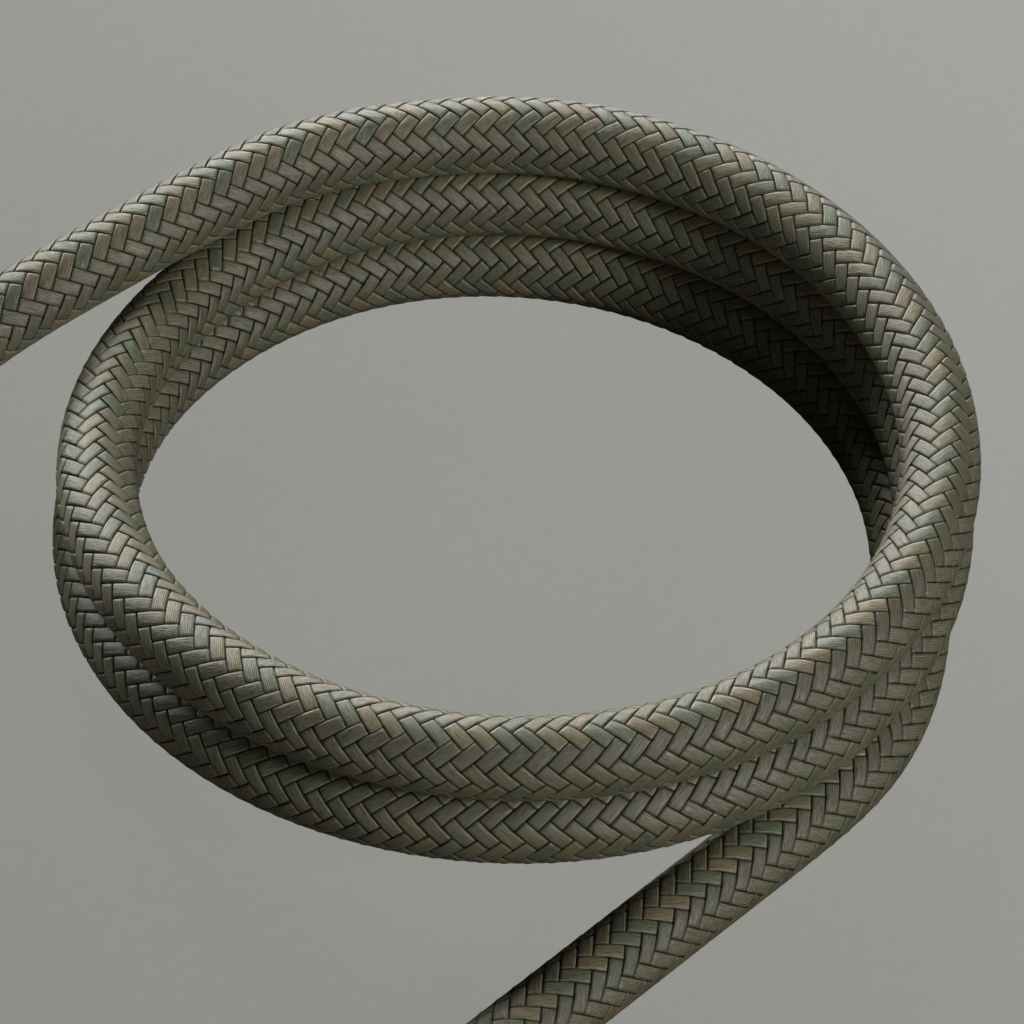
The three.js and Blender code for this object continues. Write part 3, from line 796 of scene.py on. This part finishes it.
def add_tie(look):
    """A woven strap round the spare coil, its end lapped over itself and rounded off."""
    s, out, up, normal_out, normal_up = tie_path()
    total = s[-1]
    half = TIE_WIDTH / 2
    from_end = np.minimum(s, total - s) / half
    share = np.sqrt(np.clip(1 - (1 - np.clip(from_end, 0.02, 1)) ** 2, 0, 1))
    section = np.array(TIE_SECTION) * (half, TIE_THICKNESS)
    points, places = [], []
    for k in range(len(s)):
        w = section[:, 0] * share[k]
        radius = SPARE_RADIUS + out[k] + section[:, 1] * normal_out[k]
        angle = math.radians(TIE_ANGLE) + w / SPARE_RADIUS
        z = up[k] + section[:, 1] * normal_up[k]
        x = SPARE_CENTRE[0] + radius * np.cos(angle)
        y = SPARE_CENTRE[1] + radius * np.sin(angle)
        points.append(np.column_stack([x, y, z]))
        places.append(np.column_stack([w, np.full(len(w), s[k]), section[:, 1]]))
    wide = len(section)
    faces = []
    for i in range(len(s) - 1):
        a, b = i * wide, (i + 1) * wide
        faces += [(a + k, a + (k + 1) % wide, b + (k + 1) % wide, b + k) for k in range(wide)]
    faces += [tuple(range(wide)), tuple(range((len(s) - 1) * wide, len(s) * wide))]
    tie = mesh_object("spare_coil_strap", np.concatenate(points) * MM, faces)
    attribute = tie.data.attributes.new("strap_place", "FLOAT_VECTOR", "POINT")
    attribute.data.foreach_set("vector", np.concatenate(places).astype(np.float32).ravel())
    tie.data.materials.append(look)
    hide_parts("spare_coil_tie")
    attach(tie, "root")
    return tie


# ---- Looks of the hard parts and the tie ----


def millimetres(made, stretch=(1, 1, 1)):
    """The place on the object in millimetres, stretched for grain that runs one way."""
    place = made.add("ShaderNodeTexCoord").outputs["Object"]
    scale = [1000 * k for k in stretch]
    return made.add("ShaderNodeVectorMath", {0: place, 1: scale}, operation="MULTIPLY").outputs[0]


def hard_look(name, base, roughness, metallic=0.0, grain=6.0, stretch=(1, 1, 1), bump=0.05, vary=0.12):
    """A hard material with its grain: colour and gloss vary a little, and the surface is finely uneven."""
    made = Nodes(name)
    place = millimetres(made, stretch)
    fine = made.noise(place, grain, 3.0, 0.65)
    broad = made.noise(place, grain / 14, 2.0)
    light = made.sum(
        "MULTIPLY", made.ramp(fine, 0.25, 0.75, 1 - vary, 1 + vary),
        made.ramp(broad, 0.3, 0.7, 1 - vary / 2, 1 + vary / 2),
    )
    made.set(base_color=made.shaded(base, light))
    made.set(roughness=made.ramp(fine, 0.25, 0.75, roughness * 0.85, min(1.0, roughness * 1.2)))
    made.raise_by(fine, bump * MM)
    made.shader.inputs["Metallic"].default_value = metallic
    return made.material


WARP, WEFT = 14.0, 11.0  # radians of the strap's weave to the millimetre, across and along it


def strap_look():
    """Woven tape: rows of small loops, raised at their middles."""
    made = Nodes("strap_tape")
    place = made.add("ShaderNodeAttribute", attribute_name="strap_place").outputs["Vector"]
    parts = made.add("ShaderNodeSeparateXYZ", {0: place}).outputs
    warp = made.sum("SINE", made.sum("MULTIPLY", parts[0], WARP))
    weft = made.sum("SINE", made.sum("MULTIPLY", parts[1], WEFT))
    loops = made.ramp(made.sum("MULTIPLY", warp, weft), -1.0, 1.0)
    fuzz = made.sum("MULTIPLY", made.noise(place, 7.0, 4.0), 0.8)
    height = made.sum("ADD", loops, fuzz)
    made.set(base_color=made.shaded(colour("3a3a36"), made.ramp(height, 0.2, 1.5, 0.55, 1.5)))
    made.raise_by(height, 0.06 * MM)
    made.shader.inputs["Roughness"].default_value = 0.85
    made.shader.inputs["Sheen Weight"].default_value = 0.3
    return made.material


SLEEVE_GREY = colour("8a8a8c")


def make_looks():
    """One material for each material slot of the record, except the cord's."""
    return {
        "dark_rubber": hard_look("soft_rubber", colour("3b3b39"), 0.62, grain=9, bump=0.012),
        "black_plastic": hard_look("moulded_plastic", colour("2e2e2f"), 0.42, grain=14, bump=0.006),
        "housing_metal": hard_look("anodised_sleeve", SLEEVE_GREY, 0.42, 1.0, 22, bump=0.008, vary=0.08),
        "steel": hard_look("drawn_steel", colour("c9c9c6"), 0.32, 1.0, 9, (12, 1, 12), 0.003, 0.06),
        "contact_metal": hard_look("gold_plate", colour("e3bd62"), 0.26, 1.0, 9, (10, 1, 10), 0.003, 0.05),
        "board": hard_look("solder_mask", colour("1f5b3a"), 0.35, grain=4, bump=0.004, vary=0.2),
        "inner_mould": hard_look("milky_mould", colour("d9d5c6"), 0.55, grain=5, bump=0.006),
        "wire_red": hard_look("red_insulation", colour("a8362c"), 0.4, grain=5, bump=0.004),
        "wire_black": hard_look("black_insulation", colour("262626"), 0.4, grain=5, bump=0.004),
        "wire_green": hard_look("green_insulation", colour("3f8550"), 0.4, grain=5, bump=0.004),
        "wire_blue": hard_look("blue_insulation", colour("3d68ad"), 0.4, grain=5, bump=0.004),
        "wire_white": hard_look("white_insulation", colour("dcdcd8"), 0.4, grain=5, bump=0.004),
        "tie_fabric": strap_look(),
    }


# ---- Floor and light ----

FLOOR_REACH = 3.0  # metres from the middle to each side
FLOOR_GLOW = 0.93  # share of the floor's brightness that shadows don't touch
FLOOR_DARK, FLOOR_LIGHT = "8c8d86", "a5a6a1"
FLOOR_SLOPE = (0.65, 0.76, 0)  # the way that the painted wash of light makes it lighter
FLOOR_FADE = (-0.06, 0.065)  # metres that way over which it does
FLOOR_GRAIN = 900.0  # specks to the metre
FLOOR_BOUNCE = 0.06  # what the floor throws back at the cord
WORLD_LIGHT = 0.008


def add_floor():
    """Pale paper with a painted wash of light, lighter to the back and right, which throws little light back
    up.
    """
    corners = [(x * FLOOR_REACH, y * FLOOR_REACH, 0) for x, y in ((-1, -1), (1, -1), (1, 1), (-1, 1))]
    floor = mesh_object("floor", corners, [(0, 1, 2, 3)])
    made = Nodes("floor_paper_with_painted_light")
    place = made.add("ShaderNodeTexCoord").outputs["Object"]
    slope = made.add("ShaderNodeVectorMath", {0: place, 1: FLOOR_SLOPE}, operation="DOT_PRODUCT")
    share = made.ramp(slope.outputs["Value"], *FLOOR_FADE)
    # Painted light: the floor's colour grows lighter to the back and right, as a wash of light across it.
    paper = made.mix(share, colour(FLOOR_DARK), colour(FLOOR_LIGHT))
    paper = made.shaded(paper, made.ramp(made.noise(place, FLOOR_GRAIN, 2.0), 0.3, 0.7, 0.99, 1.01))
    glow = made.add("ShaderNodeEmission", {"Color": paper, "Strength": 1.0})
    matt = made.add("ShaderNodeBsdfDiffuse", {"Color": paper})
    seen = made.add("ShaderNodeMixShader", {0: FLOOR_GLOW, 1: matt.outputs[0], 2: glow.outputs[0]})
    dim = made.add("ShaderNodeBsdfDiffuse", {"Color": [FLOOR_BOUNCE] * 3})
    direct = made.add("ShaderNodeLightPath").outputs["Is Camera Ray"]
    mixed = made.add("ShaderNodeMixShader", {0: direct, 1: dim.outputs[0], 2: seen.outputs[0]})
    made.tree.links.new(mixed.outputs[0], made.tree.nodes["Material Output"].inputs["Surface"])
    floor.data.materials.append(made.material)


# Soft round lights: degrees round from the camera's side towards +X, degrees up, width in metres, watts.
# A fit to the photograph's shading gave a first set, which was then changed.
STUDIO = {
    "key_right": (60, 34, 0.26, 4.6),
    "fill_right": (35, 22, 0.40, 0.6),
    "low_front": (348, 9, 0.40, 1.0),
    "rim_low_left": (225, 6, 0.35, 6.0),
    "rim_low_back": (180, 6, 0.35, 4.7),
    "rim_middle": (206, 22, 0.35, 2.4),
    "rim_high": (200, 38, 0.35, 4.7),
}


def add_light(name, compass, height, width, watts):
    """One disc of light, a metre from the object and turned towards it."""
    light = bpy.data.lights.new(name, "AREA")
    light.shape = "DISK"
    light.size = width
    light.energy = watts
    compass, height = math.radians(compass), math.radians(height)
    flat = math.cos(height)
    place = Vector((math.sin(compass) * flat, -math.cos(compass) * flat, math.sin(height)))
    thing = bpy.data.objects.new(name, light)
    thing.location = place
    thing.rotation_mode = "QUATERNION"
    thing.rotation_quaternion = (-place).to_track_quat("-Z", "Y")
    bpy.context.scene.collection.objects.link(thing)


def add_lights():
    """The studio's lights, and a trace of light from all round."""
    for name, values in STUDIO.items():
        add_light(name, *values)
    world = bpy.data.worlds.new("studio")
    world.use_nodes = True
    background = world.node_tree.nodes["Background"]
    background.inputs["Color"].default_value = (1, 1, 1, 1)
    background.inputs["Strength"].default_value = WORLD_LIGHT
    bpy.context.scene.world = world
    bpy.context.scene.view_settings.view_transform = "Standard"


# ---- Making ----

add_camera()
cord, cord_path, cord_braids = add_cord()
LOOKS = make_looks()
plugs = [piece for name in ("plug_a", "plug_b") for piece in add_plug(name, LOOKS)]
tie = add_tie(LOOKS["tie_fabric"])
dress_cad_nodes(LOOKS)
add_floor()
add_lights()

tuple(cord_path[0])
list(cord_braids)
bpy.context.view_layer.update()
